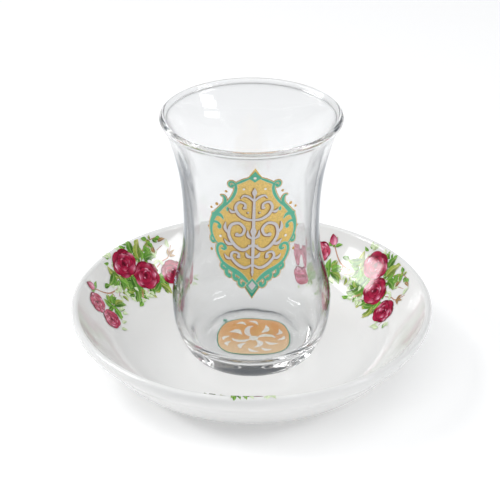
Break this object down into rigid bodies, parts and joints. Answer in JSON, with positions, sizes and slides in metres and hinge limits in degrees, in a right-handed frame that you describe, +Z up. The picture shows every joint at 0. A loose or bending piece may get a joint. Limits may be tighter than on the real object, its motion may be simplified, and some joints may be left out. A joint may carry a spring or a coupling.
{
  "type": "turkish tea glass",
  "caption": "Clear slim-waisted tea glass with a printed medallion, standing empty in a deep porcelain saucer with rose sprays.",
  "frame": {"origin": "on the table, at the centre of the saucer's foot ring", "axes": "+Z up along the common axis of the glass and the saucer; -Y towards the viewer, who sees the glass's printed medallion"},
  "size_m": [0.1248, 0.1248, 0.0945],
  "materials": {
    "porcelain": "white porcelain under a clear gloss glaze",
    "glass": "clear, with a fire-polished rim",
    "medallion_enamel": "gold, turquoise and white enamel fired on to the glass",
    "rose_transfer": "coloured flower transfer under the saucer's glaze"
  },
  "bodies": {
    "root": {"saucer": "porcelain", "tea_glass": "glass"}
  },
  "joints": []
}
